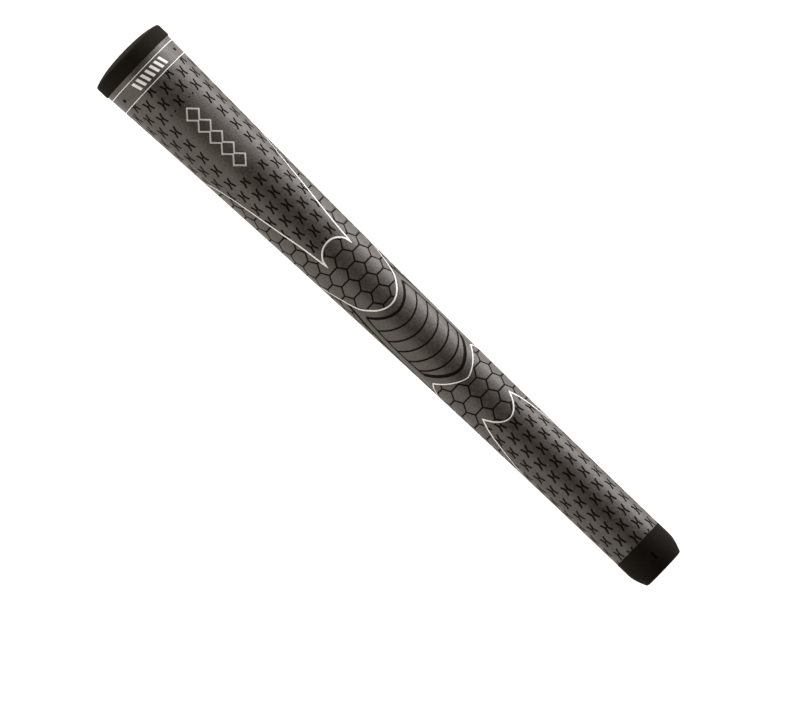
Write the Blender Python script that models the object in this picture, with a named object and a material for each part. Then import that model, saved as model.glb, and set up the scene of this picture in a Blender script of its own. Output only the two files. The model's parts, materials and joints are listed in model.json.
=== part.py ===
"""A wrapped golf grip, lying along X: its capped butt end is at -X and its open mouth at +X.

It comes apart into a core sleeve, a felt backing, a polymer wrap, a seam bead, a butt cap and
a mouth cap. Metres, +Z up. The origin is on the axis of the bore, midway along the grip. The
face of the grip is up, and the seam of its wrap runs along the underside.
"""

import bpy
from math import cos, pi, radians, sin

# Driving dimensions, in metres. Places along the grip are counted from the crown of the butt cap.
GRIP_LENGTH = 0.268
GAP = 0.0003
FACETS = 48

# The shaft fits a bore that narrows evenly from the cap to the mouth.
BORE_BUTT_RADIUS = 0.0074
BORE_MOUTH_RADIUS = 0.0050
VENT_RADIUS = 0.0010

# The wrap's outside: widest under the cap, and narrowing less and less towards the mouth.
WRAP_MOUTH_RADIUS = 0.0105
WRAP_SWELL = 0.0049
TAPER_START = 0.0090
TAPER_LENGTH = 0.2506
WRAP_THICKNESS = 0.0015
FELT_THICKNESS = 0.0009
SKIVED_BUTT_RADIUS = 0.0146
SKIVED_MOUTH_RADIUS = 0.0096
SEAM_WIDTH = 0.0014

# The butt cap: a domed crown, a collar that stands proud of the wrap, and a hollow spigot.
COLLAR_RADIUS = 0.0159
COLLAR_START = 0.0025
COLLAR_END = 0.0075
COLLAR_EDGE = 0.0006
CROWN_THICKNESS = 0.0029
CROWN_LAND_RADIUS = 0.0030
DOME_RADIUS = 0.0153
DOME_HEIGHT = 0.0019
DOME_POWER = 2.7
GROOVE_FLOOR = 0.0052
SPIGOT_RADIUS = 0.0102
SPIGOT_END = 0.0140

# The mouth cap: a straight band flush with the wrap, then a nose that curves in to a flat end.
MOUTH_CAP_START = 0.2549
MOUTH_CAP_RADIUS = 0.01056
MOUTH_CAP_EDGE = 0.0002
REBATE_FLOOR = 0.2585
NOSE_START = 0.2603
NOSE_END = 0.2668
NOSE_END_RADIUS = 0.0089
NOSE_POWER = 1.8
LAND_OUTER_RADIUS = 0.0077
LAND_INNER_RADIUS = 0.0055
SLEEVE_NOSE_RADIUS = 0.0066
SLEEVE_NOSE_END = 0.2635

BODY_STATIONS = 12
HALF_FACET = pi / FACETS


def clear_scene():
    for thing in list(bpy.data.objects):
        bpy.data.objects.remove(thing, do_unlink=True)


def finish(name, colour, roughness):
    material = bpy.data.materials.new(name)
    material.use_nodes = True
    shader = material.node_tree.nodes["Principled BSDF"]
    shader.inputs["Base Color"].default_value = (*colour, 1.0)
    shader.inputs["Roughness"].default_value = roughness
    shader.inputs["Metallic"].default_value = 0.0
    return material


def steps(start, end, count):
    return [start + (end - start) * step / count for step in range(count + 1)]


def corner(along, radius):
    """One corner of a turned outline, set so that the middle of each flat lies at the radius."""
    reach = radius / cos(HALF_FACET)
    return (along - GRIP_LENGTH / 2, reach * sin(HALF_FACET), reach * cos(HALF_FACET))


def turned(name, outline, material):
    """A round piece: a closed outline of (along, radius) points, turned about the bore's axis."""
    mesh = bpy.data.meshes.new(name)
    sides = [(end - 1, end) for end in range(1, len(outline))] + [(len(outline) - 1, 0)]
    mesh.from_pydata([corner(*point) for point in outline], sides, [])
    mesh.materials.append(material)
    piece = bpy.data.objects.new(name, mesh)
    bpy.context.scene.collection.objects.link(piece)
    screw = piece.modifiers.new("turn", "SCREW")
    screw.axis = "X"
    screw.steps = FACETS
    screw.render_steps = FACETS
    screw.use_merge_vertices = True
    screw.merge_threshold = 0.00001
    screw.use_smooth_shade = True
    screw.use_normal_flip = True
    return piece


def slab_under_grip(name, width):
    """A helper slab along the underside, as long as the wrap shows, for cutting at the seam."""
    half = GRIP_LENGTH / 2
    low, high = -COLLAR_RADIUS - 2 * GAP, -SLEEVE_NOSE_RADIUS
    corners = [(x, y, z) for x in (-half, half) for y in (-width / 2, width / 2) for z in (low, high)]
    faces = [(0, 1, 3, 2), (4, 6, 7, 5), (0, 4, 5, 1), (2, 3, 7, 6), (0, 2, 6, 4), (1, 5, 7, 3)]
    mesh = bpy.data.meshes.new(name)
    mesh.from_pydata(corners, [], faces)
    slab = bpy.data.objects.new(name, mesh)
    bpy.context.scene.collection.objects.link(slab)
    slab.hide_render = True
    slab.display_type = "WIRE"
    return slab


def combine(piece, slab, operation):
    cut = piece.modifiers.new(operation.lower(), "BOOLEAN")
    cut.operation = operation
    cut.solver = "EXACT"
    cut.object = slab


def wrap_radius(along):
    left = 1 - (along - TAPER_START) / TAPER_LENGTH
    return WRAP_MOUTH_RADIUS + WRAP_SWELL * left**2


def felt_radius(along):
    return wrap_radius(along) - WRAP_THICKNESS - GAP


def sleeve_radius(along):
    return felt_radius(along) - FELT_THICKNESS - GAP


def bore_radius(along):
    return BORE_BUTT_RADIUS + (BORE_MOUTH_RADIUS - BORE_BUTT_RADIUS) * along / GRIP_LENGTH


def layer(inner, outer, start, end):
    """The outline of a rolled layer that lies between two tapered surfaces."""
    stations = steps(start, end, BODY_STATIONS)
    return [(x, outer(x)) for x in stations] + [(x, inner(x)) for x in reversed(stations)]


def core_sleeve(material):
    start, end = GROOVE_FLOOR + GAP, REBATE_FLOOR - GAP
    socket_end = SPIGOT_END + GAP
    socket_radius = SPIGOT_RADIUS + GAP
    outside = [(x, sleeve_radius(x)) for x in steps(start, end, BODY_STATIONS)]
    nose = [(end, SLEEVE_NOSE_RADIUS), (SLEEVE_NOSE_END, SLEEVE_NOSE_RADIUS)]
    bore = [(SLEEVE_NOSE_END, bore_radius(SLEEVE_NOSE_END)), (socket_end, bore_radius(socket_end))]
    socket = [(socket_end, socket_radius), (start, socket_radius)]
    return turned("core_sleeve", outside + nose + bore + socket, material)


def felt_backing(material):
    start, end = GROOVE_FLOOR + GAP, REBATE_FLOOR - GAP
    inside = lambda x: felt_radius(x) - FELT_THICKNESS
    return turned("felt_backing", layer(inside, felt_radius, start, end), material)


def polymer_wrap(material):
    """The wrap's two ends are skived thin, to slip under the collar and under the mouth cap."""
    start, end = GROOVE_FLOOR + GAP, REBATE_FLOOR - GAP
    shoulder, far_shoulder = COLLAR_END + GAP, MOUTH_CAP_START - GAP
    butt_edge = [(start, SKIVED_BUTT_RADIUS), (shoulder, SKIVED_BUTT_RADIUS)]
    outside = [(x, wrap_radius(x)) for x in steps(shoulder, far_shoulder, BODY_STATIONS)]
    mouth_edge = [(far_shoulder, SKIVED_MOUTH_RADIUS), (end, SKIVED_MOUTH_RADIUS)]
    back = [(x, wrap_radius(x) - WRAP_THICKNESS) for x in steps(end, start, BODY_STATIONS)]
    return turned("polymer_wrap", butt_edge + outside + mouth_edge + back, material)


def seam_bead(material):
    start, end = COLLAR_END + GAP, MOUTH_CAP_START - GAP
    inside = lambda x: sleeve_radius(x) + GAP
    return turned("seam_bead", layer(inside, wrap_radius, start, end), material)


def crown_height(radius):
    return DOME_HEIGHT * (radius / DOME_RADIUS) ** DOME_POWER


def butt_cap(material):
    """A cup with the vent through its crown, a collar over the wrap's end, and a spigot."""
    dome = [(crown_height(r), r) for r in steps(CROWN_LAND_RADIUS, DOME_RADIUS, 6)[1:]]
    land = [(0, VENT_RADIUS), (0, CROWN_LAND_RADIUS)]
    turns = [radians(angle) for angle in (60, 30, 0)]
    front_centre = (COLLAR_START, COLLAR_RADIUS - COLLAR_EDGE)
    front = [
        (front_centre[0] - COLLAR_EDGE * sin(turn), front_centre[1] + COLLAR_EDGE * cos(turn))
        for turn in turns
    ]
    back = [
        (COLLAR_END - COLLAR_EDGE + COLLAR_EDGE * cos(turn), front_centre[1] + COLLAR_EDGE * sin(turn))
        for turn in (radians(90), radians(45), 0)
    ]
    lip_radius = SKIVED_BUTT_RADIUS + GAP
    groove = [(COLLAR_END, lip_radius), (GROOVE_FLOOR, lip_radius), (GROOVE_FLOOR, SPIGOT_RADIUS)]
    spigot = [(SPIGOT_END, SPIGOT_RADIUS), (SPIGOT_END, BORE_BUTT_RADIUS)]
    inside = [(CROWN_THICKNESS, BORE_BUTT_RADIUS), (CROWN_THICKNESS, VENT_RADIUS)]
    return turned("butt_cap", land + dome + front + back + groove + spigot + inside, material)


def nose_radius(along):
    share = (along - NOSE_START) / (NOSE_END - NOSE_START)
    return MOUTH_CAP_RADIUS - (MOUTH_CAP_RADIUS - NOSE_END_RADIUS) * share**NOSE_POWER


def mouth_cap(material):
    """A ring rebated to take the thin end of the wrap, and bored to take the sleeve's nose."""
    lip_radius = SKIVED_MOUTH_RADIUS + GAP
    band = [
        (MOUTH_CAP_START, lip_radius),
        (MOUTH_CAP_START, MOUTH_CAP_RADIUS - MOUTH_CAP_EDGE),
        (MOUTH_CAP_START + MOUTH_CAP_EDGE, MOUTH_CAP_RADIUS),
    ]
    nose = [(x, nose_radius(x)) for x in steps(NOSE_START, NOSE_END, 5)]
    drop, rise = GRIP_LENGTH - NOSE_END, NOSE_END_RADIUS - LAND_OUTER_RADIUS
    end_edge = [
        (NOSE_END + drop * sin(turn), LAND_OUTER_RADIUS + rise * cos(turn))
        for turn in (radians(30), radians(60), radians(90))
    ]
    chamfer = LAND_INNER_RADIUS - BORE_MOUTH_RADIUS
    bore = [
        (GRIP_LENGTH, LAND_INNER_RADIUS),
        (GRIP_LENGTH - chamfer, BORE_MOUTH_RADIUS),
        (SLEEVE_NOSE_END + GAP, BORE_MOUTH_RADIUS),
    ]
    socket_radius = SLEEVE_NOSE_RADIUS + GAP
    socket = [(SLEEVE_NOSE_END + GAP, socket_radius), (REBATE_FLOOR, socket_radius)]
    rebate = [(REBATE_FLOOR, lip_radius)]
    return turned("mouth_cap", band + nose + end_edge + bore + socket + rebate, material)


clear_scene()

foam = finish("core foam", (0.035, 0.035, 0.037), 0.85)
felt = finish("backing felt", (0.42, 0.41, 0.39), 0.95)
polymer = finish("wrap polymer", (0.105, 0.100, 0.096), 0.52)
seam_polymer = finish("seam polymer", (0.075, 0.072, 0.070), 0.60)
cap_rubber = finish("cap rubber", (0.018, 0.017, 0.016), 0.62)

core_sleeve(foam)
felt_piece = felt_backing(felt)
wrap = polymer_wrap(polymer)
bead = seam_bead(seam_polymer)
butt_cap(cap_rubber)
mouth_cap(cap_rubber)

seam_slot = slab_under_grip("seam_slot", SEAM_WIDTH)
combine(wrap, seam_slot, "DIFFERENCE")
combine(felt_piece, seam_slot, "DIFFERENCE")
combine(bead, slab_under_grip("bead_width", SEAM_WIDTH - 2 * GAP), "INTERSECT")
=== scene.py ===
"""A wrapped golf grip and the studio it is shown in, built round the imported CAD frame.

The wrap is made as the real one is: embossed and painted as a flat sheet, drawn in millimetres,
and then rolled round the taper. The rubber pieces are turned about the grip's axis."""

import json
import math

import bmesh
import bpy
from mathutils import Matrix, Vector
from mathutils.geometry import delaunay_2d_cdt

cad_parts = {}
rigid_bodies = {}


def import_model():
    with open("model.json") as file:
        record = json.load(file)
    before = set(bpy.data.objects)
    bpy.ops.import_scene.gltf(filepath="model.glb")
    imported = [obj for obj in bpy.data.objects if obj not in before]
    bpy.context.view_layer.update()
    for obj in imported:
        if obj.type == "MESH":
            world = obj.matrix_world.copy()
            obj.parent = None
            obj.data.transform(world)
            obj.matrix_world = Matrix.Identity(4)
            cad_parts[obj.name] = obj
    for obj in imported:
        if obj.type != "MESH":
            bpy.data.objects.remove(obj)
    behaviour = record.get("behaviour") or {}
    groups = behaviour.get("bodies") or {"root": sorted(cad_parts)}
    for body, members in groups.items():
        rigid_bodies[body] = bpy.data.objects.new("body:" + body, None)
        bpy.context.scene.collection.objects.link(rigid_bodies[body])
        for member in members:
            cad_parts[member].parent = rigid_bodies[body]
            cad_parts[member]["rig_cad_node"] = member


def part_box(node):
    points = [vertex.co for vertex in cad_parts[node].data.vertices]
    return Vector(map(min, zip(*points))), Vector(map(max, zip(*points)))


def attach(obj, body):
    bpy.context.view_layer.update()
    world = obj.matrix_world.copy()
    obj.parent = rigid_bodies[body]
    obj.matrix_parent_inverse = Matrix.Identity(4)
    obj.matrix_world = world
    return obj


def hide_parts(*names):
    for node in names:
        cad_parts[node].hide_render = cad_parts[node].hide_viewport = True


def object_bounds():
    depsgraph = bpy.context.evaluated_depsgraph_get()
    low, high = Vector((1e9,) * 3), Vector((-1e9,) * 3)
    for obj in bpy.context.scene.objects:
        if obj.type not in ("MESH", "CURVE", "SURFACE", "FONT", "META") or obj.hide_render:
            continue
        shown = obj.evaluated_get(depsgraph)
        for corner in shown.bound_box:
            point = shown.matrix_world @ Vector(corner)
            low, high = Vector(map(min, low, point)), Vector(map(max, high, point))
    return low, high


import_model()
cad_box = [list(corner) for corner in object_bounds()]


# --- Embossing dies -------------------------------------------------------------------------
# Steel rolls press the pattern into the sheet before it is rolled up. One die is a field of
# crossed marks in staggered rows, which stand a little closer together near the mouth, and the
# other is a honeycomb of pointed cells. Sizes are in millimetres.

BUTT_CROSSES = {"First": 13.75, "Pitch": 6.676, "Columns": 15}
MOUTH_CROSSES = {"First": 180.26, "Pitch": 6.563, "Columns": 13}
CROSS_ROWS = {"Row Pitch": 4.65, "Rows": 11}
BUTT_MIDDLE = -0.26
STROKE_REACH = 2.0
STROKE_MIDDLE = 0.47
STROKE_RISE = 0.60
STROKE_BEND = 1.3
STROKE_HALF = 0.40
STROKE_TIP = 0.45
NECK_REACH = 0.25
NECK_WAIST = 0.8
CELL_HALF_WIDTH = 3.007
CELL_SIDE = 0.70 * CELL_HALF_WIDTH
CELL_PEAK = 1.377 * CELL_HALF_WIDTH
CELL_GROOVE = 0.66
CELL_ROWS = {"First": 42.64, "Pitch": 2 * CELL_HALF_WIDTH, "Columns": 35}
CELL_ROWS.update({"Row Pitch": CELL_SIDE + CELL_PEAK, "Rows": 9})


class Wire:
    """A socket in a node tree. Arithmetic on wires adds the Math nodes that work it out."""

    def __init__(self, tree, socket=None):
        self.tree = tree
        self.socket = socket

    def node(self, kind, settings=None, inputs=None, output=0):
        """Adds a node, makes its settings, fills its inputs, and returns one of its outputs."""
        made = self.tree.nodes.new(kind)
        for name, value in (settings or {}).items():
            if name == "stops":
                fill_ramp(made.color_ramp, value)
            else:
                setattr(made, name, value)
        for key, value in (inputs or {}).items():
            self.feed(made.inputs[key], value)
        return Wire(self.tree, made.outputs[output])

    def feed(self, socket, value):
        """Links or sets one input. A list of wires is linked in its order."""
        for item in value if isinstance(value, list) else [value]:
            if isinstance(item, Wire):
                self.tree.links.new(item.socket, socket)
            else:
                socket.default_value = item

    def maths(self, operation, *values):
        return self.node("ShaderNodeMath", {"operation": operation}, dict(enumerate(values)))

    def __add__(self, other):
        return self.maths("ADD", self, other)

    def __sub__(self, other):
        return self.maths("SUBTRACT", self, other)

    def __rsub__(self, other):
        return self.maths("SUBTRACT", other, self)

    def __mul__(self, other):
        return self.maths("MULTIPLY", self, other)

    def __truediv__(self, other):
        return self.maths("DIVIDE", self, other)

    __radd__ = __add__
    __rmul__ = __mul__


def fill_ramp(ramp, stops):
    """Sets a colour ramp to stops, each a place and a colour."""
    while len(ramp.elements) < len(stops):
        ramp.elements.new(1.0)
    for element, (place, colour) in zip(ramp.elements, stops):
        element.position = place
        element.color = colour


def new_object(name, data):
    """An object in the scene, at the origin."""
    thing = bpy.data.objects.new(name, data)
    bpy.context.scene.collection.objects.link(thing)
    return thing


def new_tree(name, inputs):
    """An empty Geometry Nodes tree, and its named inputs as wires."""
    tree = bpy.data.node_groups.new(name, "GeometryNodeTree")
    tree.interface.new_socket("Geometry", in_out="INPUT", socket_type="NodeSocketGeometry")
    for label, kind in inputs.items():
        tree.interface.new_socket(label, in_out="INPUT", socket_type="NodeSocket" + kind)
    tree.interface.new_socket("Geometry", in_out="OUTPUT", socket_type="NodeSocketGeometry")
    source = tree.nodes.new("NodeGroupInput")
    return tree, {socket.name: Wire(tree, socket) for socket in source.outputs if socket.name}


def close_tree(tree, geometry, finish):
    """Ends a tree as the export needs it: real geometry with its material set."""
    real = geometry.node("GeometryNodeRealizeInstances", inputs={"Geometry": geometry})
    done = real.node("GeometryNodeSetMaterial", inputs={"Geometry": real, "Material": finish})
    sink = tree.nodes.new("NodeGroupOutput")
    tree.links.new(done.socket, sink.inputs[0])


def put_through(tree, mesh, values):
    """The plain mesh that a tree makes from a mesh, with the tree's inputs set by their names."""
    carrier = new_object(mesh.name, mesh)
    modifier = carrier.modifiers.new(tree.name, "NODES")
    modifier.node_group = tree
    for item in tree.interface.items_tree:
        if item.in_out == "INPUT" and item.name in values:
            modifier[item.identifier] = values[item.name]
    bpy.context.view_layer.update()
    graph = bpy.context.evaluated_depsgraph_get()
    made = bpy.data.meshes.new_from_object(carrier.evaluated_get(graph), depsgraph=graph)
    bpy.data.objects.remove(carrier)
    return made


def staggered_rows_tree():
    """Copies of one mark in staggered rows, centred on the line along the sheet's middle."""
    kinds = {"First": "Float", "Pitch": "Float", "Row Pitch": "Float"}
    kinds.update({"Columns": "Int", "Rows": "Int", "Finish": "Material"})
    tree, given = new_tree("staggered rows", kinds)
    length = given["Pitch"] * (given["Columns"] - 1)
    fields = []
    for rows, shift in ((given["Rows"], 0.0), (given["Rows"] - 1, 0.5)):
        sizes = {"Size X": length, "Size Y": given["Row Pitch"] * 2 * (rows - 1)}
        sizes.update({"Vertices X": given["Columns"], "Vertices Y": rows})
        grid = length.node("GeometryNodeMeshGrid", inputs=sizes)
        middle = given["First"] + length / 2 + given["Pitch"] * shift
        move = middle.node("ShaderNodeCombineXYZ", inputs={"X": middle})
        moved = {"Geometry": grid, "Translation": move}
        fields.append(grid.node("GeometryNodeTransform", inputs=moved))
    points = length.node("GeometryNodeJoinGeometry", inputs={"Geometry": fields})
    copies = {"Points": points, "Instance": given["Geometry"]}
    close_tree(tree, points.node("GeometryNodeInstanceOnPoints", inputs=copies), given["Finish"])
    return tree


def crossed_mark():
    """Two shallow bowed strokes, back to back, joined by a narrow neck."""
    def height(x):
        return STROKE_MIDDLE + STROKE_RISE * (x / STROKE_REACH) ** STROKE_BEND

    arm = [NECK_REACH + (STROKE_REACH - NECK_REACH) * step / 3 for step in range(4)]
    under = [(x, height(x) - STROKE_HALF) for x in arm]
    blunt = STROKE_REACH + STROKE_TIP * STROKE_HALF
    tip = [(blunt, height(STROKE_REACH) + turn * STROKE_HALF / 2) for turn in (-1, 1)]
    over = [(x, height(x) + STROKE_HALF) for x in reversed(arm)]
    quarter = under + tip + over
    waist = [(NECK_WAIST * NECK_REACH, 0.0)]
    top = [(0.0, STROKE_MIDDLE + STROKE_HALF)]
    upper = waist + quarter + top + [(-x, y) for x, y in reversed(quarter)]
    return upper + [(-x, -y) for x, y in upper]


def pointed_cell():
    """A pointed hexagon, smaller all round than its cell by half a groove."""
    inset = CELL_GROOVE / 2
    slant = math.atan2(CELL_PEAK - CELL_SIDE, CELL_HALF_WIDTH)
    wide = CELL_HALF_WIDTH - inset
    top = CELL_PEAK - inset / math.cos(slant)
    shoulder = top - wide * math.tan(slant)
    right = [(0, -top), (wide, -shoulder), (wide, shoulder)]
    return right + [(-x, -y) for x, y in right]


def outlines_in_rows(name, outline, sizes):
    """The flat outlines that a die presses: one mark, repeated in staggered rows."""
    mark = bpy.data.meshes.new(name)
    mark.from_pydata([(x, y, 0.0) for x, y in outline], [], [range(len(outline))])
    rows = put_through(staggered_rows_tree(), mark, sizes)
    return [[tuple(rows.vertices[i].co.xy) for i in face.vertices] for face in rows.polygons]


def shifted(outlines, across):
    """The same outlines, moved round the grip."""
    return [[(x, y + across) for x, y in outline] for outline in outlines]


butt_crosses = outlines_in_rows("butt marks", crossed_mark(), {**CROSS_ROWS, **BUTT_CROSSES})
butt_crosses = shifted(butt_crosses, BUTT_MIDDLE)
mouth_crosses = outlines_in_rows("mouth marks", crossed_mark(), {**CROSS_ROWS, **MOUTH_CROSSES})
cells = outlines_in_rows("pointed cell", pointed_cell(), CELL_ROWS)


# --- Lines drawn on the sheet ---------------------------------------------------------------
# Two rings near the butt and four swept lines are filled with white paint. Seven bowed black
# lines part the ribs of the thumb panel, and longer ones run down its sides. Places are (along
# from the crown, round from the middle), in millimetres.

LINE_TAIL_WIDTH = 0.36
LINE_THINNING = 0.035
LINE_BORDER = 0.14
RING_WIDTH = 0.30
RINGS = (9.6, 16.0)
SHEET_REACH = 52.0
PANEL_CORNER = (128.7, 10.7)
PANEL_SHOULDER = (157.5, 11.8)
PANEL_BULGE = 4.32
PANEL_STEP = 2.88
PANEL_LINE_WIDTH = 0.66
RIB_APEXES = (135.3, 140.5, 145.7, 150.7, 155.9, 161.0, 165.8)
RIB_SWEEP = 5.6
RIB_BOW = 1.9
RIB_LINE_WIDTH = 0.68
FIRST_RIB_WIDTH = 1.1
LAST_RIB_BOW = 1.65
LAST_RIB_WIDTH = 1.3
SIDE_LINE_WIDTH = 1.2


def smooth_through(points, steps=6):
    """A curve through the points, with their outer neighbours mirrored at its two ends."""
    path = [Vector(point) for point in points]
    path = [2 * path[0] - path[1]] + path + [2 * path[-1] - path[-2]]
    curve = []
    for before, start, end, after in zip(path, path[1:], path[2:], path[3:]):
        for step in range(steps):
            t = step / steps
            bend = (2 * before - 5 * start + 4 * end - after) * t * t
            bend += (3 * start - before - 3 * end + after) * t**3
            curve.append(tuple(0.5 * (2 * start + (end - before) * t + bend)))
    return curve + [tuple(points[-1])]


def bow(apex, corner, power=2.0, steps=9):
    """An arc across the middle of the sheet, from its apex out to a corner on one side."""
    share = [step / steps for step in range(steps + 1)]
    return [(apex + (corner[0] - apex) * t**power, corner[1] * t) for t in share]


def both_sides(half):
    """A path from one edge of the sheet to the other, mirrored in the sheet's middle."""
    return [(x, -y) for x, y in reversed(half)] + half[1:]


def swept_line(middle, side):
    """A line over the middle of the sheet that turns at a corner and runs out to each side."""
    return both_sides(middle + smooth_through([middle[-1]] + side)[1:])


def in_turn(corners):
    """The same corners in their order round their middle, so that no side crosses another."""
    x = sum(corner[0] for corner in corners) / len(corners)
    y = sum(corner[1] for corner in corners) / len(corners)
    return sorted(corners, key=lambda corner: math.atan2(corner[1] - y, corner[0] - x))


def strip(path, width):
    """Four-cornered pieces that cover a line of some width along a path."""
    points = [Vector(point) for point in path]
    sides = []
    for place, point in enumerate(points):
        ahead = (points[min(place + 1, len(points) - 1)] - point).normalized()
        behind = (point - points[max(place - 1, 0)]).normalized()
        ahead = ahead if ahead.length else behind
        behind = behind if behind.length else ahead
        across = Vector((-ahead.y - behind.y, ahead.x + behind.x)).normalized()
        stretch = max(0.5, abs(across.dot(Vector((-behind.y, behind.x)))))
        reach = across * width(point) / 2 / stretch
        sides.append((tuple(point + reach), tuple(point - reach)))
    return [in_turn([left, right, right_next, left_next])
            for (left, right), (left_next, right_next) in zip(sides, sides[1:])]


def painted_line(path, corner, corner_width, middle_width):
    """The white of a swept line, widest at its two corners, and the wider channel it lies in."""
    def width(point):
        across = abs(point.y)
        swell = middle_width + (corner_width - middle_width) * min(1.0, across / corner[1])
        return max(LINE_TAIL_WIDTH, swell - LINE_THINNING * max(0.0, across - corner[1]))

    return strip(path, width), strip(path, lambda point: width(point) + 2 * LINE_BORDER)


def ring(along, width):
    """A straight band over the whole sheet, which becomes a ring when the sheet is rolled."""
    low, high = along - width / 2, along + width / 2
    return [(low, -SHEET_REACH), (high, -SHEET_REACH), (high, SHEET_REACH), (low, SHEET_REACH)]


fish_tail = (106.15, 6.6)
fish_tail_bow = smooth_through([
    (100.0, 0), (100.3, 2.0), (101.0, 3.5), (101.9, 4.6),
    (103.05, 5.7), (104.5, 6.3), fish_tail], 3)
fish_tail_line = swept_line(fish_tail_bow, [
    (94.9, 8.1), (80.55, 10.9), (69.8, 13.2), (62.65, 15.2),
    (55.5, 18.8), (49.5, 27), (46.5, 40), (46, 52)])
round_nose = (128.9, 6.4)
round_nose_line = swept_line(bow(131.85, round_nose), [
    (125.3, 9.8), (121.7, 11.7), (116.35, 14.0), (111.0, 17.0),
    (103.0, 23.0), (96.5, 31), (93, 40), (92, 52)])
thumb_end = (162.3, 11.75)
thumb_end_line = swept_line(bow(169.8, thumb_end, 1.43), [
    (163.5, 13.8), (165.4, 15.6), (168.5, 20), (173, 27), (177, 35), (179, 52)])
front_tail = (184.0, 7.5)
front_tail_line = swept_line(bow(190.6, front_tail), [
    (187.95, 9.4), (193.3, 11.1), (198.7, 12.6), (204.1, 14.3),
    (212, 17.5), (222, 22.5), (236, 33), (240, 52)])

painted_lines = [
    painted_line(fish_tail_line, fish_tail, corner_width=0.64, middle_width=0.64),
    painted_line(round_nose_line, round_nose, corner_width=0.62, middle_width=0.56),
    painted_line(thumb_end_line, thumb_end, corner_width=0.52, middle_width=0.38),
    painted_line(front_tail_line, front_tail, corner_width=0.60, middle_width=0.44),
]
white, channels = [], []
for paint, channel in painted_lines:
    white += paint
    channels += channel
white += [ring(along, RING_WIDTH) for along in RINGS]
channels += [ring(along, RING_WIDTH + 2 * LINE_BORDER) for along in RINGS]


def panel_edge(along):
    """How far the thumb panel reaches to each side at a place along it."""
    share = (along - PANEL_CORNER[0]) / (PANEL_SHOULDER[0] - PANEL_CORNER[0])
    straight = PANEL_CORNER[1] + (PANEL_SHOULDER[1] - PANEL_CORNER[1]) * share
    return straight + PANEL_BULGE * max(0.0, share * (1 - share))


panel_places = [PANEL_CORNER[0] + PANEL_STEP * step for step in range(11)]
panel_side = [(x, panel_edge(x)) for x in panel_places]
side_line = smooth_through([
    (120.5, 12.2), (126, 13.4), (133, 14.6), (145, 16.0), (156, 16.5), (165.5, 16.3)])
first_rib = both_sides(bow(RIB_APEXES[0], PANEL_CORNER, RIB_BOW))
last_rib = both_sides(bow(RIB_APEXES[-1], PANEL_SHOULDER, LAST_RIB_BOW))
black = strip(first_rib, lambda point: FIRST_RIB_WIDTH)
black += strip(last_rib, lambda point: LAST_RIB_WIDTH)
for turn in (1, -1):
    black += strip([(x, turn * y) for x, y in panel_side], lambda point: PANEL_LINE_WIDTH)
    black += strip([(x, turn * y) for x, y in side_line], lambda point: SIDE_LINE_WIDTH)
for apex in RIB_APEXES[1:-1]:
    end = (apex - RIB_SWEEP, panel_edge(apex - RIB_SWEEP))
    black += strip(both_sides(bow(apex, end, RIB_BOW)), lambda point: RIB_LINE_WIDTH)


# --- The wrap -------------------------------------------------------------------------------
# A sheet of soft polymer, 1.5 mm thick, embossed and painted flat. Its ends are skived thin to
# tuck under the caps, and it is rolled so that its two long edges meet along the underside.

MM = 0.001
MOUTH_RADIUS = 10.5
SWELL = 4.9
TAPER_START = 9.0
TAPER_LENGTH = 250.6
SHEET_THICKNESS = 1.5
SHEET_START, SHEET_END = 5.5, 258.2
SHOULDER, FAR_SHOULDER = 7.55, 254.85
SKIVED_RADIUS, FAR_SKIVED_RADIUS = 14.6, 9.6
SHOULDER_STEP = 0.01
SEAM_HALF = 0.7
MARK_DEPTH = 0.30
CHANNEL_DEPTH = 0.12
PRINT_DEPTH = 0.06
BEVEL = 0.03
RIB_RELIEF = 0.16
FACE_SPACING, FACE_FACETS = 1.2, 96
BACK_SPACING, BACK_FACETS = 6.0, 48
EDGE_MARGIN = 0.4
MOUTH_MARGIN = 0.2
KEPT_SHARE = 0.3
PLAIN_PANEL = ((28.9, -7.2), (62.4, 7.2))
OVAL_PLACE = (12.8, 15.5)
LOZENGE_STROKE = 0.62
MARK_PAINT_THICKNESS = 0.21
BORDER_PAINT_THICKNESS = 0.07
LINE_PAINT_THICKNESS = 0.10
PRINT_THICKNESS = 0.05
crown_x = cad_box[0][0]


def wrap_radius(along):
    """The radius of the wrap: it falls fast near the butt and hardly at all near the mouth."""
    return MOUTH_RADIUS + SWELL * (1 - (along - TAPER_START) / TAPER_LENGTH) ** 2


def stations(spacing):
    """Places along the sheet, with a close pair at each shoulder, where it is cut thin."""
    length = FAR_SHOULDER - SHOULDER - 1
    count = round(length / spacing)
    middle = [SHOULDER + 0.5 + length * step / count for step in range(count + 1)]
    start = [SHEET_START, SHOULDER - SHOULDER_STEP, SHOULDER + SHOULDER_STEP]
    return start + middle + [FAR_SHOULDER - SHOULDER_STEP, FAR_SHOULDER + SHOULDER_STEP, SHEET_END]


def sheet_edge(along):
    """How far the sheet reaches to each side: half way round, less half the seam."""
    return math.pi * wrap_radius(along) - SEAM_HALF


def grid_points(spacing, facets):
    """Corners for the plain surface, on straight rows along and rings round the grip."""
    points = []
    for along in stations(spacing)[1:-1]:
        for step in range(1, facets):
            across = wrap_radius(along) * math.pi * (2 * step / facets - 1)
            if abs(across) < sheet_edge(along) - EDGE_MARGIN:
                points.append((along, across))
    return points


def inside(point, outline):
    """Whether a point lies inside an outline, by the sides that a line across it crosses."""
    x, y = point
    within = False
    for (x0, y0), (x1, y1) in zip(outline, outline[1:] + outline[:1]):
        if (y0 > y) != (y1 > y) and x < x0 + (x1 - x0) * (y - y0) / (y1 - y0):
            within = not within
    return within


def reaching(outlines, field, share=0.0):
    """The outlines that have more than a share of their corners inside a field."""
    return [outline for outline in outlines
            if sum(inside(point, field) for point in outline) > share * len(outline)]


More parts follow.
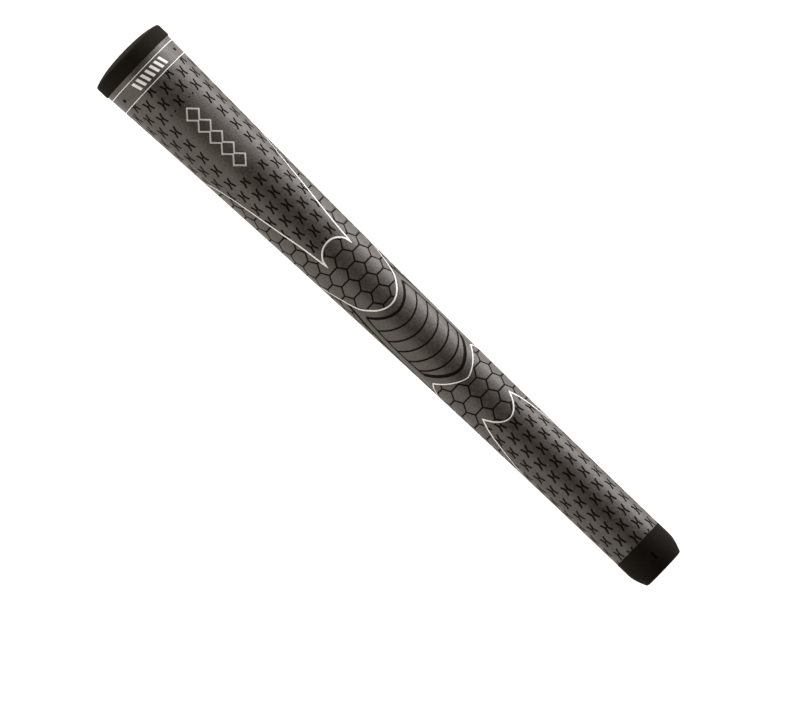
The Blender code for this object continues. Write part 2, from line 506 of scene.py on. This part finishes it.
def box_outline(near, far):
    """A rectangle between two opposite corners."""
    return [near, (far[0], near[1]), far, (near[0], far[1])]


edge_path = [(along, sheet_edge(along)) for along in stations(FACE_SPACING)]
sheet_outline = edge_path + [(x, -y) for x, y in reversed(edge_path)]
butt_field = [(RINGS[1], SHEET_REACH), (RINGS[1], -SHEET_REACH)] + fish_tail_line
mouth_end = FAR_SHOULDER - MOUTH_MARGIN
mouth_field = front_tail_line + [(mouth_end, SHEET_REACH), (mouth_end, -SHEET_REACH)]
honeycomb = fish_tail_line + front_tail_line[::-1]
near_end = [point for point in round_nose_line if abs(point[1]) < side_line[0][1]]
far_end = [point for point in thumb_end_line if abs(point[1]) < side_line[-1][1]]
thumb_zone = near_end + side_line + far_end[::-1] + [(x, -y) for x, y in side_line[::-1]]
thumb_panel = first_rib + panel_side[1:-1] + last_rib[::-1]
thumb_panel += [(x, -y) for x, y in panel_side[-2:0:-1]]


def slanted_bars():
    """The printed band between the rings: a row of plain slanted bars."""
    low, high = 10.75, 14.55
    pitch, bar, slant, count = 2.3, 1.25, 1.1, 7
    bars = []
    for number in range(count):
        start = (number - count / 2) * pitch
        end = start + slant
        bars.append([(low, start), (high, end), (high, end + bar), (low, start + bar)])
    return bars


def lozenges(inset):
    """The printed panel: a chain of lozenges, each drawn in from its outline by an inset."""
    half_length, half_width = 3.6, 3.4
    first, pitch, count = 33.95, 5.75, 5
    shrink = inset * math.hypot(half_length, half_width)
    long = half_length - shrink / half_width
    wide = half_width - shrink / half_length
    middles = [first + pitch * number for number in range(count)]
    return [[(x - long, 0), (x, -wide), (x + long, 0), (x, wide)] for x in middles]


def oval(along, across):
    """A small black oval, which closes the printed band at one end."""
    facets, half_length, half_width = 14, 0.75, 0.85
    turns = [2 * math.pi * step / facets for step in range(facets)]
    return [(along + half_length * math.cos(turn), across + half_width * math.sin(turn))
            for turn in turns]


black += shifted([oval(OVAL_PLACE[0], turn * OVAL_PLACE[1]) for turn in (1, -1)], BUTT_MIDDLE)

shapes = {
    "sheet": [sheet_outline], "butt field": [butt_field], "mouth field": [mouth_field],
    "honeycomb": [honeycomb], "thumb zone": [thumb_zone],
    "plain panel": shifted([box_outline(*PLAIN_PANEL)], BUTT_MIDDLE),
    "white": white, "channel": channels, "black": black,
    "cross": reaching(butt_crosses, butt_field, KEPT_SHARE) + reaching(mouth_crosses, mouth_field),
    "cell": reaching(cells, honeycomb), "bar": shifted(slanted_bars(), BUTT_MIDDLE),
    "lozenge": shifted(lozenges(0), BUTT_MIDDLE),
    "lozenge hole": shifted(lozenges(LOZENGE_STROKE), BUTT_MIDDLE),
}


def finely(outline, longest=1.0):
    """The same outline with corners added along it, so that it can bend round the grip."""
    fine = []
    for start, end in zip(outline, outline[1:] + outline[:1]):
        count = math.ceil(math.dist(start, end) / longest) or 1
        fine += [tuple(Vector(start).lerp(Vector(end), step / count)) for step in range(count)]
    return fine


def doubled_area(outline):
    """Twice the area inside an outline, negative where its corners go round backwards."""
    sides = zip(outline, outline[1:] + outline[:1])
    return sum(x0 * y1 - x1 * y0 for (x0, y0), (x1, y1) in sides)


def cut_sheet(shapes, points):
    """Cuts the sheet into triangles along every outline, each with the kinds that hold it."""
    corners, outlines, kinds = [], [], []
    for kind, members in shapes.items():
        for outline in map(finely, members):
            places = list(range(len(corners), len(corners) + len(outline)))
            corners += [Vector(point) for point in outline]
            outlines.append(places if doubled_area(outline) > 0 else places[::-1])
            kinds.append(kind)
    corners += [Vector(point) for point in points]
    cut = delaunay_2d_cdt(corners, [], outlines, 0, 1e-6, True)
    held = [{kinds[number] for number in source} for source in cut[5]]
    return cut[0], list(zip(cut[2], held))


def treatment(kinds):
    """What is done to a triangle of the sheet, from the kinds of outline that hold it."""
    if "sheet" not in kinds:
        return "waste"
    if "white" in kinds:
        return "white"
    if "channel" in kinds:
        return "channel"
    if "bar" in kinds:
        return "bar"
    if "lozenge" in kinds and "lozenge hole" not in kinds:
        return "lozenge"
    in_field = kinds & {"butt field", "mouth field"} and "plain panel" not in kinds
    crossed = "cross" in kinds and in_field
    walled = "honeycomb" in kinds and not kinds & {"cell", "thumb zone"}
    return "mark" if "black" in kinds or crossed or walled else "plain"


sheet = bmesh.new()
corners, triangles = cut_sheet(shapes, grid_points(FACE_SPACING, FACE_FACETS))
sheet_corners = [sheet.verts.new((*corner, 0.0)) for corner in corners]
treated = {kind: [] for kind in ("white", "channel", "bar", "lozenge", "mark", "plain")}
for face, kinds in triangles:
    done = treatment(kinds)
    if done != "waste":
        treated[done].append(sheet.faces.new([sheet_corners[number] for number in face]))
loose = [corner for corner in sheet.verts if not corner.link_faces]
bmesh.ops.delete(sheet, geom=loose, context="VERTS")


def rib_height(x, y):
    """Each rib of the thumb panel swells up between the two lines beside it."""
    bowed = x + RIB_SWEEP * (abs(y) / panel_edge(x)) ** RIB_BOW
    for low, high in zip((RIB_APEXES[0] - 1,) + RIB_APEXES, RIB_APEXES):
        if low <= bowed < high:
            share = (bowed - low) / (high - low)
            return RIB_RELIEF * (math.sin(math.pi * share) - 1)
    return 0.0


def emboss(sheet, faces, depth):
    """Presses faces of the sheet down, with a narrow slope round them."""
    bmesh.ops.inset_region(sheet, faces=faces, use_boundary=True, thickness=BEVEL)
    for corner in {corner for face in faces for corner in face.verts}:
        corner.co.z = -depth


emboss(sheet, treated["white"] + treated["channel"], CHANNEL_DEPTH)
emboss(sheet, treated["mark"], MARK_DEPTH)
emboss(sheet, treated["bar"] + treated["lozenge"], PRINT_DEPTH)


def as_mesh(name, built):
    """The finished mesh of what was built."""
    mesh = bpy.data.meshes.new(name)
    built.to_mesh(mesh)
    built.free()
    return mesh


def slab(name, faces, thickness):
    """Paint as it lies in the sheet: a closed slab on the floor of the pressed faces."""
    paint = bmesh.new()
    copies = {}
    for face in faces:
        for corner in face.verts:
            if corner not in copies:
                copies[corner] = paint.verts.new(corner.co)
        paint.faces.new([copies[corner] for corner in face.verts])
    raised = bmesh.ops.extrude_face_region(paint, geom=paint.faces[:], use_keep_orig=True)["geom"]
    for corner in raised:
        if isinstance(corner, bmesh.types.BMVert):
            corner.co.z += thickness
    bmesh.ops.recalc_face_normals(paint, faces=paint.faces[:])
    return as_mesh(name, paint)


def close_below(sheet):
    """Gives the sheet its thickness: walls down from its edge, and a plain back."""
    edges = [edge for edge in sheet.edges if edge.is_boundary]
    walls = bmesh.ops.extrude_edge_only(sheet, edges=edges)["geom"]
    lower = [part for part in walls if isinstance(part, bmesh.types.BMVert)]
    for corner in lower:
        corner.co.z = -SHEET_THICKNESS
    numbers = {corner: number for number, corner in enumerate(lower)}
    new_edges = [part for part in walls if isinstance(part, bmesh.types.BMEdge)]
    rim = [[numbers[corner] for corner in edge.verts] for edge in new_edges
           if all(corner in numbers for corner in edge.verts)]
    points = [corner.co.xy for corner in lower]
    points += [Vector(point) for point in grid_points(BACK_SPACING, BACK_FACETS)]
    cut = delaunay_2d_cdt(points, rim, [], 1, 1e-6, False)
    back = [sheet.verts.new((*point, -SHEET_THICKNESS)) for point in cut[0]]
    for face in cut[2]:
        sheet.faces.new([back[number] for number in reversed(face)])
    bmesh.ops.remove_doubles(sheet, verts=lower + back, dist=1e-4)
    bmesh.ops.recalc_face_normals(sheet, faces=sheet.faces[:])


def skive(corner):
    """Lowers the top of the sheet's two ends to the radius that slips under the caps."""
    if corner.co.z <= -SHEET_THICKNESS:
        return
    if corner.co.x < SHOULDER:
        corner.co.z = SKIVED_RADIUS - wrap_radius(corner.co.x)
    elif corner.co.x > FAR_SHOULDER:
        corner.co.z = FAR_SKIVED_RADIUS - wrap_radius(corner.co.x)


for corner in sheet.verts:
    if corner.co.z == 0 and inside(corner.co.xy, thumb_panel):
        corner.co.z = rib_height(corner.co.x, corner.co.y)
paint_meshes = {
    "mark_paint": slab("mark_paint", treated["mark"], MARK_PAINT_THICKNESS),
    "border_paint": slab("border_paint", treated["channel"], BORDER_PAINT_THICKNESS),
    "line_paint": slab("line_paint", treated["white"], LINE_PAINT_THICKNESS),
    "band_print": slab("band_print", treated["bar"], PRINT_THICKNESS),
    "panel_print": slab("panel_print", treated["lozenge"], PRINT_THICKNESS),
}
close_below(sheet)
for corner in sheet.verts:
    skive(corner)
sheet_mesh = as_mesh("wrap_sheet", sheet)


def rolling_tree():
    """Rolls what was drawn flat, in millimetres, round the taper of the grip, in metres."""
    kinds = {"Crown": "Float", "Mouth Radius": "Float", "Swell": "Float", "Taper Start": "Float"}
    kinds.update({"Taper Length": "Float", "Finish": "Material"})
    tree, given = new_tree("roll round the taper", kinds)
    place = given["Crown"].node("GeometryNodeInputPosition")
    along, across, height = (
        place.node("ShaderNodeSeparateXYZ", None, {0: place}, axis) for axis in range(3))
    left = 1 - (along - given["Taper Start"]) / given["Taper Length"]
    surface = given["Mouth Radius"] + given["Swell"] * left * left
    turn = across / surface
    reach = (surface + height) * MM
    rolled = {"X": given["Crown"] + along * MM, "Y": reach * turn.maths("SINE", turn)}
    rolled["Z"] = reach * turn.maths("COSINE", turn)
    target = place.node("ShaderNodeCombineXYZ", inputs=rolled)
    moved = {"Geometry": given["Geometry"], "Position": target}
    close_tree(tree, place.node("GeometryNodeSetPosition", inputs=moved), given["Finish"])
    return tree


rolling = rolling_tree()
taper = {"Crown": crown_x, "Mouth Radius": MOUTH_RADIUS, "Swell": SWELL}
taper.update({"Taper Start": TAPER_START, "Taper Length": TAPER_LENGTH})


def place_piece(name, mesh, smooth_below=32):
    """Puts a finished mesh into the model, riding on the one body that a grip has."""
    mesh.shade_smooth()
    mesh.set_sharp_from_angle(angle=math.radians(smooth_below))
    piece = new_object(name, mesh)
    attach(piece, "root")
    return piece


def rolled_piece(name, mesh, material, radii=taper):
    """A piece that was drawn flat, rolled round the grip."""
    return place_piece(name, put_through(rolling, mesh, {**radii, "Finish": material}))


def new_finish(name, colour, roughness):
    """A material, its shader, and a wire that reads places on the piece."""
    material = bpy.data.materials.new(name)
    material.use_nodes = True
    tree = material.node_tree
    shader = tree.nodes["Principled BSDF"]
    shader.inputs["Base Color"].default_value = (*colour, 1.0)
    shader.inputs["Roughness"].default_value = roughness
    place = Wire(tree).node("ShaderNodeTexCoord", output="Object")
    return material, shader, place


def mottle(place, scale, detail=3.0):
    """Noise of one size over a piece, as a value about one half."""
    return place.node("ShaderNodeTexNoise", None, {"Vector": place, "Scale": scale, "Detail": detail})


def tinted(place, noise, dark, light, spread=0.25):
    """A colour that wanders between two shades as the noise does."""
    stops = [(0.5 - spread, (*dark, 1.0)), (0.5 + spread, (*light, 1.0))]
    return place.node("ShaderNodeValToRGB", {"stops": stops}, {"Fac": noise})


def roughen(place, shader, height, distance, strength=1.0):
    """Fine relief from a height, through the shader's normal."""
    relief = {"Height": height, "Distance": distance, "Strength": strength}
    place.feed(shader.inputs["Normal"], place.node("ShaderNodeBump", None, relief))


def polymer_finish():
    """Soft polymer: a leathery grain and a fine one, faintly clouded, with a slight sheen."""
    dark, light = (0.020, 0.0155, 0.0125), (0.058, 0.048, 0.041)
    material, shader, place = new_finish("wrap polymer", (0.038, 0.031, 0.026), 0.48)
    cloud = mottle(place, 90.0)
    leather = place.node("ShaderNodeTexVoronoi", None, {"Vector": place, "Scale": 950.0})
    grain = mottle(place, 1500.0, 2.0)
    tone = cloud * 0.35 + grain * 0.4 + leather * 0.45
    place.feed(shader.inputs["Base Color"], tinted(place, tone, dark, light))
    place.feed(shader.inputs["Roughness"], 0.38 + 0.12 * grain + 0.12 * leather)
    roughen(place, shader, grain * 0.5 - leather, 0.00006, 0.7)
    shader.inputs["Sheen Weight"].default_value = 0.12
    shader.inputs["Sheen Roughness"].default_value = 0.35
    return material


def paint_finish(name, dark, light, roughness, gloss):
    """Thick paint wiped into the pressed lines: nearly even, with a slight pinholed surface."""
    material, shader, place = new_finish(name, light, roughness)
    speck = mottle(place, 1400.0)
    place.feed(shader.inputs["Base Color"], tinted(place, speck, dark, light))
    place.feed(shader.inputs["Roughness"], roughness - 0.1 + 0.2 * speck)
    roughen(place, shader, speck, 0.00002, 0.5)
    shader.inputs["Specular IOR Level"].default_value = gloss
    return material


polymer = polymer_finish()
black_paint = paint_finish("mark black", (0.005, 0.004, 0.003), (0.008, 0.006, 0.0045), 0.7, 0.04)
white_paint = paint_finish("line white", (0.76, 0.76, 0.75), (0.88, 0.88, 0.87), 0.45, 0.4)
silver_paint = paint_finish("print silver", (0.50, 0.49, 0.48), (0.66, 0.65, 0.64), 0.4, 0.5)

wrap = rolled_piece("wrap_sheet", sheet_mesh, polymer)
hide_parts("polymer_wrap")
paints = {"mark_paint": black_paint, "border_paint": black_paint, "line_paint": white_paint}
paints.update({"band_print": white_paint, "panel_print": silver_paint})
for name, paint in paints.items():
    rolled_piece(name, paint_meshes[name], paint)


# --- The seam bead --------------------------------------------------------------------------
# A bead of polymer cement fills the slot where the sheet's two long edges meet. It is wiped
# down to a low crown along the whole underside.

BEAD_HALF = 0.62
BEAD_DEPTH = 2.4
BEAD_LEVEL = -0.16
BEAD_CROWN = 0.10
BEAD_SPACING = 2.0


def bead_mesh():
    """The bead as drawn flat, past the edge of the sheet, so that it rolls into the slot."""
    section = [(-BEAD_HALF, -BEAD_DEPTH), (BEAD_HALF, -BEAD_DEPTH)]
    for step in range(7):
        turn = math.pi * step / 6
        section.append((BEAD_HALF * math.cos(turn), BEAD_LEVEL + BEAD_CROWN * math.sin(turn)))
    bead = bmesh.new()
    rings = []
    for along in stations(BEAD_SPACING)[2:-2]:
        middle = math.pi * wrap_radius(along)
        places = [(along, middle + across, height) for across, height in section]
        rings.append([bead.verts.new(place) for place in places])
    for ring_here, ring_next in zip(rings, rings[1:]):
        for side in range(len(section)):
            after = (side + 1) % len(section)
            bead.faces.new([ring_here[side], ring_here[after], ring_next[after], ring_next[side]])
    bead.faces.new(rings[0])
    bead.faces.new(rings[-1])
    bmesh.ops.recalc_face_normals(bead, faces=bead.faces[:])
    return as_mesh("seam_cement", bead)


def cement_finish():
    """Cement, cured a little darker and duller than the sheet, with wiping marks along it."""
    dark, light = (0.018, 0.016, 0.014), (0.032, 0.028, 0.025)
    material, shader, place = new_finish("seam cement", (0.024, 0.021, 0.019), 0.55)
    stretch = place.node("ShaderNodeMapping", None, {"Vector": place, "Scale": (0.15, 1.0, 1.0)})
    wiped = mottle(stretch, 900.0)
    place.feed(shader.inputs["Base Color"], tinted(place, wiped, dark, light))
    place.feed(shader.inputs["Roughness"], 0.45 + 0.2 * wiped)
    roughen(place, shader, wiped, 0.00006)
    return material


bead = rolled_piece("seam_cement", bead_mesh(), cement_finish())
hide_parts("seam_bead")


# --- The butt cap ---------------------------------------------------------------------------
# One moulding in black rubber: a domed crown with a vent, a collar proud of the wrap, a groove
# that holds the ends of the three layers, and a spigot that goes into the sleeve.

COLLAR_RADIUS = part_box("butt_cap")[1][2] / MM
COLLAR_FRONT = 2.35
COLLAR_BACK = 7.5
GROOVE_RADIUS = 14.9
GROOVE_FLOOR = 5.2
SPIGOT_RADIUS = 10.2
SPIGOT_END = 14.0
BORE_RADIUS = 7.4
CROWN_INSIDE = 2.9
VENT_RADIUS = 1.0
LAND_RADIUS = 3.0
DOME_EDGE = 15.3
DOME_HEIGHT = 1.9
DOME_FALL = 2.7


def eased(corners, steps=4):
    """An outline whose corners, given as (along, radius, easing), are rounded by their easing."""
    outline = []
    for place, (x, r, easing) in enumerate(corners):
        here = Vector((x, r))
        before = Vector(corners[place - 1][:2]) - here
        after = Vector(corners[(place + 1) % len(corners)][:2]) - here
        if not easing:
            outline.append((x, r))
            continue
        start = here + before.normalized() * easing
        end = here + after.normalized() * easing
        for step in range(steps + 1):
            t = step / steps
            outline.append(tuple(start * (1 - t) ** 2 + here * 2 * t * (1 - t) + end * t * t))
    return outline


def turned_piece(name, outline, material, facets=128):
    """A round piece: a closed outline in millimetres, turned about the axis of the bore."""
    built = bmesh.new()
    corners = [built.verts.new((crown_x + x * MM, 0.0, r * MM)) for x, r in outline]
    edges = [built.edges.new((corners[place - 1], corner)) for place, corner in enumerate(corners)]
    bmesh.ops.spin(built, geom=corners + edges, cent=(0, 0, 0), axis=(1, 0, 0),
                   angle=2 * math.pi, steps=facets, use_merge=True)
    bmesh.ops.remove_doubles(built, verts=built.verts[:], dist=1e-7)
    bmesh.ops.recalc_face_normals(built, faces=built.faces[:])
    mesh = as_mesh(name, built)
    mesh.materials.append(material)
    return place_piece(name, mesh)


def dome_points():
    """The crown: a small flat land round the vent, then a dome that falls away faster outwards."""
    steps = 12
    radii = [LAND_RADIUS + (DOME_EDGE - LAND_RADIUS) * step / steps for step in range(1, steps + 1)]
    dome = [(DOME_HEIGHT * (r / DOME_EDGE) ** DOME_FALL, r, 0) for r in radii]
    return [(0.0, LAND_RADIUS, 0)] + dome


def rubber_finish():
    """Moulded rubber: nearly black, with a fine spark-eroded stipple and a dull bloom."""
    dark, light = (0.006, 0.0045, 0.003), (0.013, 0.0105, 0.008)
    material, shader, place = new_finish("cap rubber", (0.0095, 0.0075, 0.0055), 0.75)
    stipple = mottle(place, 1700.0, 2.0)
    bloom = mottle(place, 60.0)
    tone = bloom * 0.5 + stipple * 0.5
    place.feed(shader.inputs["Base Color"], tinted(place, tone, dark, light))
    place.feed(shader.inputs["Roughness"], 0.68 + 0.18 * stipple)
    roughen(place, shader, stipple, 0.00005)
    shader.inputs["Specular IOR Level"].default_value = 0.04
    return material


rubber = rubber_finish()
butt_corners = [(0.0, VENT_RADIUS, 0.2)] + dome_points()
butt_corners += [(COLLAR_FRONT, COLLAR_RADIUS, 0.7), (COLLAR_BACK, COLLAR_RADIUS, 0.45)]
butt_corners += [(COLLAR_BACK, GROOVE_RADIUS, 0), (GROOVE_FLOOR, GROOVE_RADIUS, 0)]
butt_corners += [(GROOVE_FLOOR, SPIGOT_RADIUS, 0), (SPIGOT_END, SPIGOT_RADIUS, 0.4)]
butt_corners += [(SPIGOT_END, BORE_RADIUS, 0), (CROWN_INSIDE, BORE_RADIUS, 0.8)]
butt_corners += [(CROWN_INSIDE, VENT_RADIUS, 0)]
butt_piece = turned_piece("butt_cap_moulding", eased(butt_corners), rubber)
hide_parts("butt_cap")


# --- The mouth cap --------------------------------------------------------------------------
# A ring of the same rubber over the thin end of the wrap. It is flush with the wrap, then
# curves in to a flat end round the bore. A short dash set in the front lines the grip up; its
# near-black colour is painted shade, standing for the shadow inside a recessed dash.

CAP_START = 254.9
CAP_RADIUS = 10.56
LIP_RADIUS = 9.9
NOSE_START = 260.3
NOSE_END = 266.8
NOSE_END_RADIUS = 8.9
NOSE_BOW = 1.8
END_CORNER = (267.7, 8.55)
END_RADIUS = 7.7
OPENING_RADIUS = 5.5
MOUTH_BORE_RADIUS = 5.0
MOUTH_BEVEL = 0.5
GRIP_LENGTH = (cad_box[1][0] - cad_box[0][0]) / MM
SOCKET_END = 263.8
SOCKET_RADIUS = 6.9
REBATE_FLOOR = 258.5
DASH_START, DASH_END = 260.4, 263.0
DASH_HALF_WIDTH = 0.34
DASH_POINT = 0.25
DASH_SPACING = 0.35
DASH_SUNK = 0.1
DASH_THICKNESS = 0.14


def nose_radius(along):
    """The radius of the mouth cap, which curves in after its straight band."""
    share = max(0.0, (along - NOSE_START) / (NOSE_END - NOSE_START))
    return CAP_RADIUS - (CAP_RADIUS - NOSE_END_RADIUS) * share**NOSE_BOW


nose_places = [NOSE_START + (NOSE_END - NOSE_START) * step / 10 for step in range(10)]
mouth_corners = [(CAP_START, LIP_RADIUS, 0), (CAP_START, CAP_RADIUS, 0.18)]
mouth_corners += [(x, nose_radius(x), 0) for x in nose_places]
mouth_corners += [(NOSE_END, NOSE_END_RADIUS, 0), (*END_CORNER, 0.3)]
mouth_corners += [(GRIP_LENGTH, END_RADIUS, 0.25), (GRIP_LENGTH, OPENING_RADIUS, 0.12)]
mouth_corners += [(GRIP_LENGTH - MOUTH_BEVEL, MOUTH_BORE_RADIUS, 0.12)]
mouth_corners += [(SOCKET_END, MOUTH_BORE_RADIUS, 0), (SOCKET_END, SOCKET_RADIUS, 0)]
mouth_corners += [(REBATE_FLOOR, SOCKET_RADIUS, 0), (REBATE_FLOOR, LIP_RADIUS, 0)]
mouth_piece = turned_piece("mouth_cap_moulding", eased(mouth_corners), rubber)
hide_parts("mouth_cap")


def dash_face():
    """The dash drawn flat, with pointed ends, at the height of the nose that it is sunk in."""
    outline = [(DASH_START, -DASH_HALF_WIDTH), (DASH_END, -DASH_HALF_WIDTH)]
    outline += [(DASH_END + DASH_POINT, 0.0), (DASH_END, DASH_HALF_WIDTH)]
    outline += [(DASH_START, DASH_HALF_WIDTH), (DASH_START - DASH_POINT, 0.0)]
    bent = finely(outline, DASH_SPACING)
    dash = bmesh.new()
    places = [(x, y, nose_radius(x) - CAP_RADIUS - DASH_SUNK) for x, y in bent]
    dash.faces.new([dash.verts.new(place) for place in places])
    return dash


dash = dash_face()
dash_mesh = slab("index_dash", dash.faces[:], DASH_THICKNESS)
dash_radii = {**taper, "Mouth Radius": CAP_RADIUS, "Swell": 0.0}
# Painted shade: the dash is coloured near-black, far darker than the rubber, to stand for the shadow
# inside a recessed dash.
dash_shade_paint = paint_finish("dash black", (0.0008, 0.0007, 0.0006), (0.0016, 0.0013, 0.001), 0.9, 0.0)
rolled_piece("index_dash", dash_mesh, dash_shade_paint, dash_radii)


# --- The core sleeve ------------------------------------------------------------------------
# The underlisting, moulded in black foam rubber. Its tapered bore takes the shaft, and it shows
# only down the mouth of the grip.

SLEEVE_START = 5.5
SLEEVE_END = 263.5
SLEEVE_NOSE_RADIUS = 6.6
BUTT_SOCKET_RADIUS = 10.5
SOCKET_FLOOR = 14.3
LAYERS_THICKNESS = 3.0


def bore_radius(along):
    """The bore narrows evenly from the butt to the mouth, as a shaft does."""
    return BORE_RADIUS + (MOUTH_BORE_RADIUS - BORE_RADIUS) * along / GRIP_LENGTH


def foam_finish():
    """Foam rubber skin: dull, charcoal, with small open pores."""
    dark, light = (0.014, 0.014, 0.015), (0.034, 0.034, 0.036)
    material, shader, place = new_finish("core foam", (0.028, 0.028, 0.029), 0.8)
    pores = place.node("ShaderNodeTexVoronoi", None, {"Vector": place, "Scale": 1500.0})
    place.feed(shader.inputs["Base Color"], tinted(place, pores, dark, light))
    roughen(place, shader, pores, 0.00008)
    return material


sleeve_places = [SLEEVE_START + (SHEET_END - SLEEVE_START) * step / 24 for step in range(25)]
sleeve_corners = [(x, wrap_radius(x) - LAYERS_THICKNESS, 0) for x in sleeve_places]
sleeve_corners += [(SHEET_END, SLEEVE_NOSE_RADIUS, 0), (SLEEVE_END, SLEEVE_NOSE_RADIUS, 0.3)]
sleeve_corners += [(SLEEVE_END, bore_radius(SLEEVE_END), 0.3)]
sleeve_corners += [(SOCKET_FLOOR, bore_radius(SOCKET_FLOOR), 0)]
sleeve_corners += [(SOCKET_FLOOR, BUTT_SOCKET_RADIUS, 0), (SLEEVE_START, BUTT_SOCKET_RADIUS, 0)]
sleeve_piece = turned_piece("sleeve_moulding", eased(sleeve_corners), foam_finish())
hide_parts("core_sleeve")


# --- The felt backing -----------------------------------------------------------------------
# Non-woven felt that the polymer is coated on. It is hidden between the wrap and the sleeve, and
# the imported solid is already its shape.

def felt_finish():
    """Pressed grey fibres, lying every way."""
    dark, light = (0.30, 0.29, 0.27), (0.46, 0.45, 0.43)
    material, shader, place = new_finish("backing felt", (0.42, 0.41, 0.39), 0.95)
    tangle = {"Vector": place, "Scale": 700.0, "Distortion": 9.0}
    fibres = place.node("ShaderNodeTexWave", None, tangle)
    place.feed(shader.inputs["Base Color"], tinted(place, fibres, dark, light))
    roughen(place, shader, fibres, 0.0001)
    return material


felt_node = next(thing for thing in bpy.data.objects if thing.get("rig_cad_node") == "felt_backing")
felt = felt_finish()
for slot in felt_node.material_slots:
    slot.material = felt


# --- The studio -----------------------------------------------------------------------------
# A wide pale floor that glows softly, inside a backdrop of the same shade that only the camera
# sees. Six long softboxes lean over the grip, three on each side, and a small key light joins them.

FLOOR_DROP = 0.12
FLOOR_GLOW = 0.483
GLOW_TINT = (1.0, 0.97, 0.94, 1.0)
STUDIO_REACH = 8.0
STRIPS = {-85: 3.5, -65: 8.2, -45: 4.6, 45: 3.0, 65: 1.8, 85: 30.0}
STRIP_DISTANCE, STRIP_ASIDE = 1.2, -0.3
STRIP_SIZE = (1.8, 0.4)
KEY_LEAN, KEY_DISTANCE, KEY_ASIDE = 40, 1.4, -0.6
KEY_SIZE = (0.5, 0.5)
KEY_POWER = 3.2
WARM = (1.0, 0.93, 0.86)
COOL = (1.0, 0.97, 0.96)
CAMERA_DISTANCE = 4.5
VIEW_WIDTH = 0.2864
SENSOR = 36.0
ROLL = math.radians(43.69)
LEAN = math.radians(5.7)
AIM = Vector((0.0140, -0.01135, 0.0))


def softbox(name, lean, distance, size, power, tint, aside):
    """An oblong area light along the grip, leaning from overhead towards one side of it."""
    turn = math.radians(lean)
    place = Vector((aside, distance * math.sin(turn), distance * math.cos(turn)))
    light = bpy.data.lights.new(name, "AREA")
    light.shape = "RECTANGLE"
    light.size, light.size_y = size
    light.energy = power
    light.color = tint
    lamp = new_object(name, light)
    back = place.normalized()
    across = Vector((1, 0, 0)) - back * back.x
    facing = Matrix((across.normalized(), back.cross(across).normalized(), back)).transposed()
    lamp.matrix_world = Matrix.Translation(place) @ facing.to_4x4()
    lamp.visible_camera = False


def glowing_finish(name, colour, roughness, gloss):
    """A plain surface that also gives off a soft, even light of its own."""
    material, shader, _ = new_finish(name, colour, roughness)
    shader.inputs["Specular IOR Level"].default_value = gloss
    shader.inputs["Emission Color"].default_value = GLOW_TINT
    shader.inputs["Emission Strength"].default_value = FLOOR_GLOW
    return material


floor_corners = box_outline((-STUDIO_REACH, -STUDIO_REACH), (STUDIO_REACH, STUDIO_REACH))
floor_mesh = bpy.data.meshes.new("floor")
floor_mesh.from_pydata([(x, y, -FLOOR_DROP) for x, y in floor_corners], [], [(0, 1, 2, 3)])
floor_mesh.materials.append(glowing_finish("pale floor", (0.9, 0.9, 0.9), 0.9, 0.1))
floor = new_object("floor", floor_mesh)

dome = bmesh.new()
bmesh.ops.create_icosphere(dome, subdivisions=5, radius=STUDIO_REACH)
dome_mesh = as_mesh("backdrop", dome)
dome_mesh.shade_smooth()
dome_mesh.materials.append(glowing_finish("pale backdrop", (0.0, 0.0, 0.0), 1.0, 0.0))
backdrop = new_object("backdrop", dome_mesh)
backdrop.visible_diffuse = False
backdrop.visible_glossy = False
backdrop.visible_shadow = False

for lean, power in STRIPS.items():
    tint = WARM if lean < 0 else COOL
    softbox(f"strip {lean}", lean, STRIP_DISTANCE, STRIP_SIZE, power, tint, STRIP_ASIDE)
softbox("key", KEY_LEAN, KEY_DISTANCE, KEY_SIZE, KEY_POWER, WARM, KEY_ASIDE)

world = bpy.data.worlds.new("studio")
world.use_nodes = True
world.node_tree.nodes["Background"].inputs["Color"].default_value = (1.0, 1.0, 1.0, 1.0)
world.node_tree.nodes["Background"].inputs["Strength"].default_value = 0.0
bpy.context.scene.world = world
bpy.context.scene.view_settings.view_transform = "Standard"

camera_data = bpy.data.cameras.new("camera")
camera_data.sensor_width = SENSOR
camera_data.lens = SENSOR * CAMERA_DISTANCE / VIEW_WIDTH
camera_data.clip_end = 50.0
camera = new_object("camera", camera_data)
facing = Matrix.Rotation(LEAN, 4, "X") @ Matrix.Rotation(ROLL, 4, "Z")
camera.matrix_world = Matrix.Translation(AIM) @ facing @ Matrix.Translation((0, 0, CAMERA_DISTANCE))
bpy.context.scene.camera = camera
